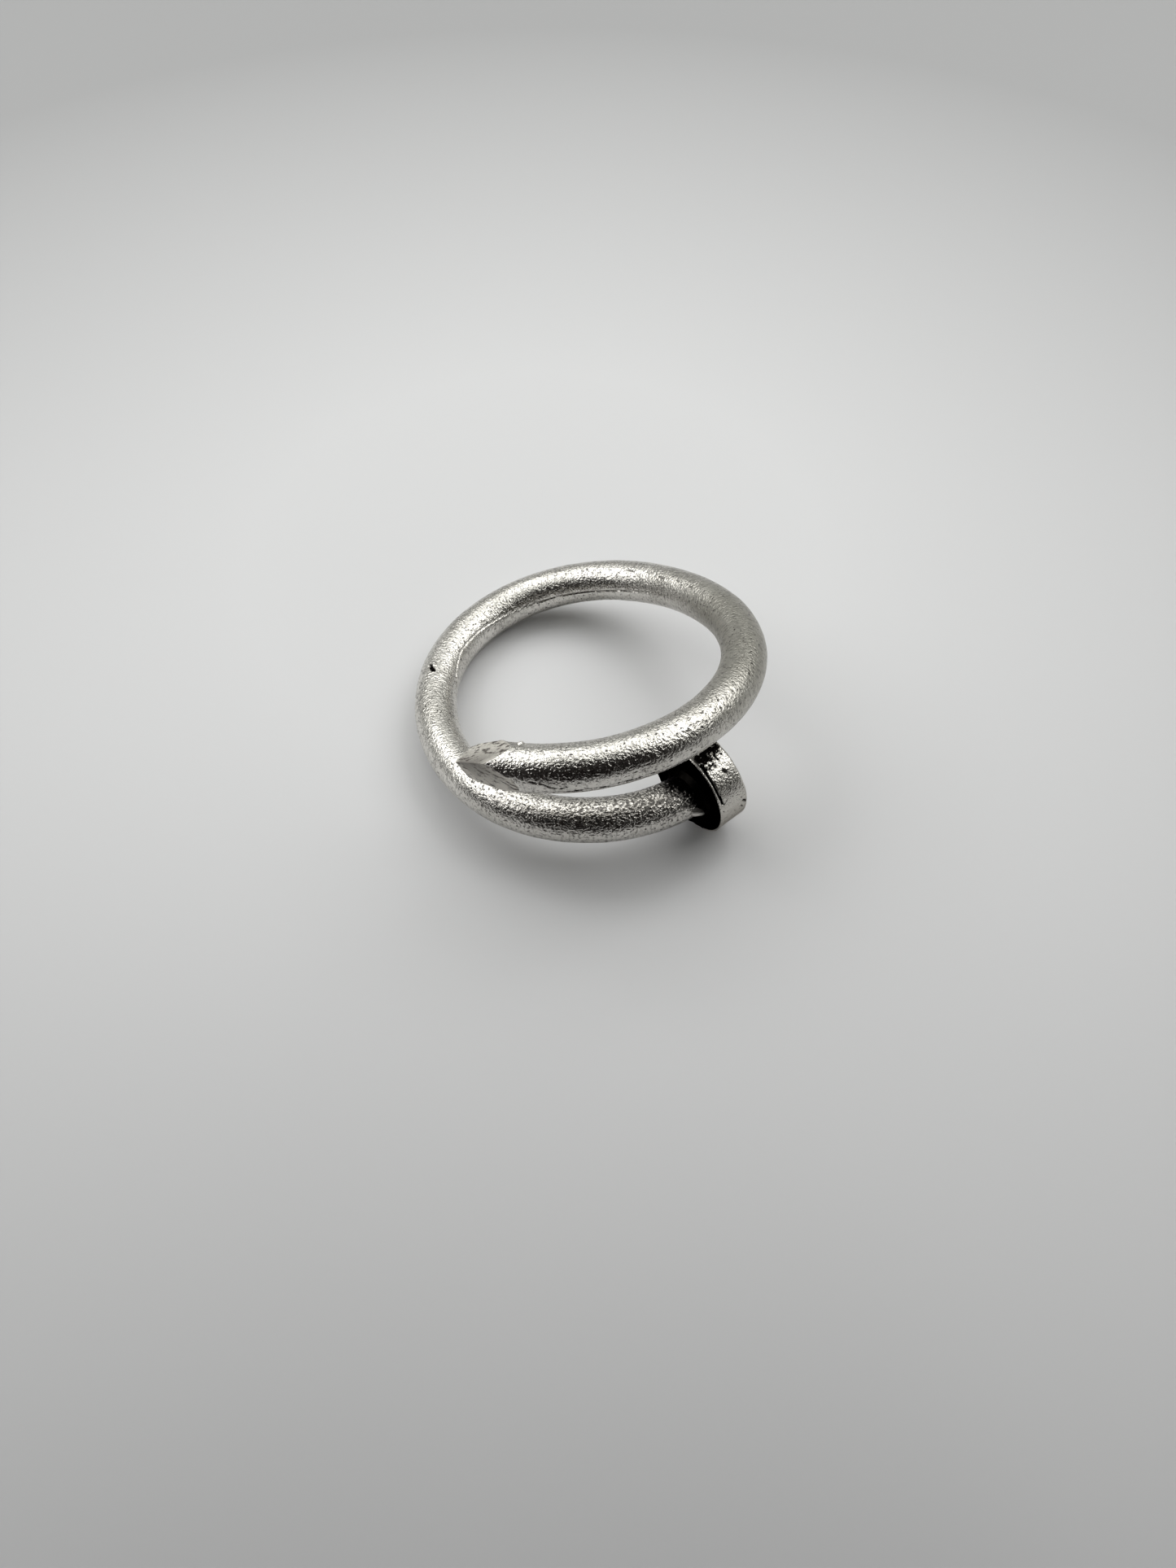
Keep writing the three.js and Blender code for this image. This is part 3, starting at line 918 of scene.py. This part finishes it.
def black_oxide():
    """Silver blackened in liver of sulphur, on the face that nothing rubs: nearly black, faintly shiny."""
    material, shader = new_metal("liver_of_sulphur_black")
    place = add_node(material, "ShaderNodeTexCoord").outputs["Object"]
    grain = add_node(
        material, "ShaderNodeTexNoise", {"Vector": place, "Scale": 1 / (0.2 * MM), "Detail": 3}
    ).outputs["Fac"]
    second_tone = add_node(
        material, "ShaderNodeMapRange", {"Value": grain, "From Min": 0.6, "From Max": 0.74}
    ).outputs["Result"]
    tone = add_node(
        material, "ShaderNodeMix", {0: second_tone, 6: linear("#060505"), 7: linear("#2C2826")}, data_type="RGBA"
    )
    shader.inputs["Roughness"].default_value = 0.36
    shader.inputs["Specular Tint"].default_value = linear("#6A6462")
    bump = add_node(material, "ShaderNodeBump", {"Height": grain, "Distance": 0.04 * MM})
    links = material.node_tree.links
    links.new(tone.outputs[2], shader.inputs["Base Color"])
    links.new(bump.outputs["Normal"], shader.inputs["Normal"])
    return material


def rubbed_silver():
    """Blackened silver rubbed back by wear: bright high spots, with oxide left in every pit and scratch."""
    material, shader = new_metal("rubbed_oxidised_silver")
    place = add_node(material, "ShaderNodeTexCoord").outputs["Object"]
    pressed = add_node(material, "ShaderNodeAttribute", attribute_name="pressed").outputs["Fac"]
    burr = add_node(material, "ShaderNodeAttribute", attribute_name="burr").outputs["Fac"]
    oxide_and_shade = add_node(material, "ShaderNodeAttribute", attribute_name="oxide_and_shade").outputs["Fac"]
    grain = add_node(
        material, "ShaderNodeTexNoise", {"Vector": place, "Scale": 1 / (0.12 * MM), "Detail": 2}
    ).outputs["Fac"]
    dots = add_node(
        material, "ShaderNodeTexNoise", {"Vector": place, "Scale": 1 / OXIDE_DOTS, "Detail": 2}
    ).outputs["Fac"]
    # Under the point the rim's dots grow into black: oxide and painted shade.
    cover = add_node(
        material, "ShaderNodeMath", {0: oxide_and_shade, 1: 0.34, 2: dots}, operation="MULTIPLY_ADD"
    ).outputs[0]
    pits = add_node(
        material, "ShaderNodeMapRange", {"Value": cover, "From Min": 0.6, "From Max": 0.74}
    ).outputs["Result"]
    dark = add_node(material, "ShaderNodeMath", {0: pits, 1: pressed}, operation="MAXIMUM").outputs[0]
    tone = add_node(
        material, "ShaderNodeMix", {0: dark, 6: linear("#DAD7D0"), 7: linear("#0B0909")}, data_type="RGBA"
    ).outputs[2]
    tone = add_node(
        material, "ShaderNodeMix", {0: burr, 6: tone, 7: linear("#D6D3CD")}, data_type="RGBA"
    ).outputs[2]
    rough = add_node(material, "ShaderNodeMapRange", {"Value": dark, "To Min": 0.22, "To Max": 0.34})
    shader.inputs["Specular Tint"].default_value = linear("#AAA6A2")
    bump = add_node(material, "ShaderNodeBump", {"Height": grain, "Distance": 0.045 * MM})
    links = material.node_tree.links
    links.new(tone, shader.inputs["Base Color"])
    links.new(rough.outputs["Result"], shader.inputs["Roughness"])
    links.new(bump.outputs["Normal"], shader.inputs["Normal"])
    return material


def silver_solder():
    """Hard silver solder, blackened with the head, and rubbed bright on the bead that stands proud."""
    material, shader = new_metal("hard_silver_solder")
    place = add_node(material, "ShaderNodeTexCoord").outputs["Object"]
    bead = add_node(material, "ShaderNodeAttribute", attribute_name="bead").outputs["Fac"]
    grain = add_node(
        material, "ShaderNodeTexNoise", {"Vector": place, "Scale": 1 / (0.22 * MM), "Detail": 2}
    ).outputs["Fac"]
    rubbed = add_node(
        material, "ShaderNodeMapRange", {"Value": bead, "From Min": 0.2, "From Max": 0.6}
    ).outputs["Result"]
    tone = add_node(
        material, "ShaderNodeMix", {0: rubbed, 6: linear("#090807"), 7: linear("#DAD7D1")}, data_type="RGBA"
    )
    shader.inputs["Roughness"].default_value = 0.38
    shader.inputs["Specular Tint"].default_value = linear("#8A8482")
    bump = add_node(material, "ShaderNodeBump", {"Height": grain, "Distance": 0.03 * MM})
    links = material.node_tree.links
    links.new(tone.outputs[2], shader.inputs["Base Color"])
    links.new(bump.outputs["Normal"], shader.inputs["Normal"])
    return material


# ---------------------------------------------------------------- the surroundings


SCREEN_SIDES = 72
SCREEN_DISTANCE = 0.5
SCREEN_AZIMUTH = -162
SCREEN_HALF_WIDTH = 76
SCREEN_HEIGHTS = (0, 56)
CARD_WIDTH = 90 * MM
CARD_ABOVE = 32 * MM
CARD_BELOW = 75 * MM
CARD_BEHIND = 3 * MM
CLOTH_WIDTH = 240 * MM
CLOTH_REACH = (52 * MM, 420 * MM)
CLOTH_LIFT = 0.2 * MM
BLACK_CLOTH = "#1C1210"
FLOOR_SIZE = 4
# The table's colour is painted palest round the ring and greyer away from it: a painted pool of light.
FLOOR_LIGHT_POOL_CENTRE = (0, 18 * MM, 0)  # the table is palest here, and greyer away from it
FLOOR_LIGHT_POOL_FADE = (22 * MM, 95 * MM)
ROOM_COLOUR = (0.64, 0.65, 0.62, 1)
LIGHT_DISTANCE = 0.35


def towards(azimuth, elevation, distance):
    """A place seen from the ring. Azimuth 0 is +Y and 90 is +X."""
    a, e = math.radians(azimuth), math.radians(elevation)
    return Vector((math.sin(a) * math.cos(e), math.cos(a) * math.cos(e), math.sin(e))) * distance


def add_light(name, azimuth, elevation, size, radiance):
    """A soft box that faces the ring. Its size is how many degrees wide and high it looks from there."""
    data = bpy.data.lights.new(name, "AREA")
    data.shape = "RECTANGLE"
    data.size = 2 * LIGHT_DISTANCE * math.tan(math.radians(size[0] / 2))
    data.size_y = 2 * LIGHT_DISTANCE * math.tan(math.radians(size[1] / 2))
    data.energy = radiance * data.size * data.size_y * math.pi
    light = bpy.data.objects.new(name, data)
    bpy.context.scene.collection.objects.link(light)
    light.location = towards(azimuth, elevation, LIGHT_DISTANCE)
    light.rotation_mode = "QUATERNION"
    light.rotation_quaternion = light.location.to_track_quat("Z", "Y")
    light.visible_camera = False


def make_floor():
    bpy.ops.mesh.primitive_plane_add(size=FLOOR_SIZE)
    floor = bpy.context.object
    floor.name = "floor"
    material = bpy.data.materials.new("pale_laminate_painted_light_pool")
    material.use_nodes = True
    shader = material.node_tree.nodes["Principled BSDF"]
    place = add_node(material, "ShaderNodeTexCoord").outputs["Object"]
    # A painted pool of light: the table's colour is palest near the ring and greyer further away.
    away = add_node(
        material, "ShaderNodeVectorMath", {0: place, 1: FLOOR_LIGHT_POOL_CENTRE}, operation="DISTANCE"
    ).outputs["Value"]
    fade = add_node(
        material, "ShaderNodeMapRange", {"Value": away, "From Min": FLOOR_LIGHT_POOL_FADE[0], "From Max": FLOOR_LIGHT_POOL_FADE[1]}
    ).outputs["Result"]
    tone = add_node(
        material, "ShaderNodeMix", {0: fade, 6: linear("#D9D9DA"), 7: linear("#ABABAC")}, data_type="RGBA"
    )
    material.node_tree.links.new(tone.outputs[2], shader.inputs["Base Color"])
    shader.inputs["Roughness"].default_value = 0.45
    floor.data.materials.append(material)


def make_dark_screen():
    """A curved black cloth behind the camera. The dark stripe along the ring's front is its reflection."""
    bpy.ops.mesh.primitive_cylinder_add(
        vertices=SCREEN_SIDES, radius=SCREEN_DISTANCE, depth=1, end_fill_type="NOTHING"
    )
    screen = bpy.context.object
    screen.name = "dark_screen"
    low, high = (SCREEN_DISTANCE * math.tan(math.radians(angle)) for angle in SCREEN_HEIGHTS)
    screen.scale.z = high - low
    screen.location.z = (high + low) / 2
    bpy.ops.object.transform_apply(location=True, rotation=True, scale=True)
    middles = face_middles(screen)
    turn = np.degrees(np.arctan2(middles[:, 0], middles[:, 1])) - SCREEN_AZIMUTH
    turn = (turn + 180) % 360 - 180
    select_only(screen, "polygons", np.abs(turn) > SCREEN_HALF_WIDTH)
    bpy.ops.mesh.delete(type="FACE")
    bpy.ops.object.mode_set(mode="OBJECT")
    screen.visible_camera = False
    material = bpy.data.materials.new("black_cloth")
    material.use_nodes = True
    material.node_tree.nodes["Principled BSDF"].inputs["Base Color"].default_value = linear(BLACK_CLOTH)
    screen.data.materials.append(material)


def make_camera_card():
    """A black card round the camera, like the camera's body. It shades the front of the table a little."""
    bpy.ops.mesh.primitive_plane_add(size=1)
    card = bpy.context.object
    card.name = "camera_card"
    card.scale = (CARD_WIDTH, CARD_ABOVE + CARD_BELOW, 1)
    card.location = (0, (CARD_ABOVE - CARD_BELOW) / 2, CARD_BEHIND)
    bpy.ops.object.transform_apply(location=True, rotation=True, scale=True)
    card.matrix_world = bpy.context.scene.camera.matrix_world.copy()
    card.visible_camera = False
    card.data.materials.append(bpy.data.materials["black_cloth"])


def lay_front_cloth():
    """The same black cloth laid in front of the ring. Only the metal sees it, so the table stays pale."""
    bpy.ops.mesh.primitive_plane_add(size=1)
    cloth = bpy.context.object
    cloth.name = "front_cloth"
    cloth.scale = (CLOTH_WIDTH, CLOTH_REACH[1] - CLOTH_REACH[0], 1)
    cloth.location = (0, -sum(CLOTH_REACH) / 2, CLOTH_LIFT)
    bpy.ops.object.transform_apply(location=True, rotation=True, scale=True)
    cloth.rotation_euler.z = math.radians(-CAMERA_AZIMUTH)
    cloth.visible_camera = False
    cloth.visible_shadow = False
    cloth.visible_diffuse = False
    cloth.data.materials.append(bpy.data.materials["black_cloth"])


def make_room():
    """The room's own light. It is darker near the table than overhead."""
    world = bpy.data.worlds.new("room")
    bpy.context.scene.world = world
    world.use_nodes = True
    background = world.node_tree.nodes["Background"]
    background.inputs["Color"].default_value = ROOM_COLOUR
    direction = add_node(world, "ShaderNodeTexCoord").outputs["Generated"]
    upwards = add_node(world, "ShaderNodeSeparateXYZ", {"Vector": direction}).outputs["Z"]
    strength = add_node(
        world, "ShaderNodeMapRange", {"Value": upwards, "From Min": 0.2, "From Max": 0.7, "To Min": 0.46}
    )
    world.node_tree.links.new(strength.outputs["Result"], background.inputs["Strength"])


make_camera()
bpy.context.scene.view_settings.view_transform = "Standard"
make_room()

make_shank(satin_silver(), pinched_silver())
make_head(black_oxide(), rubbed_silver())
make_solder(silver_solder())

bpy.ops.object.select_all(action="DESELECT")
make_floor()
make_dark_screen()
make_camera_card()
lay_front_cloth()
add_light("left_softbox", azimuth=-62, elevation=44, size=(56, 32), radiance=1.62)
add_light("top_softbox", azimuth=0, elevation=62, size=(64, 40), radiance=0.95)
add_light("right_softbox", azimuth=82, elevation=52, size=(46, 34), radiance=1.95)
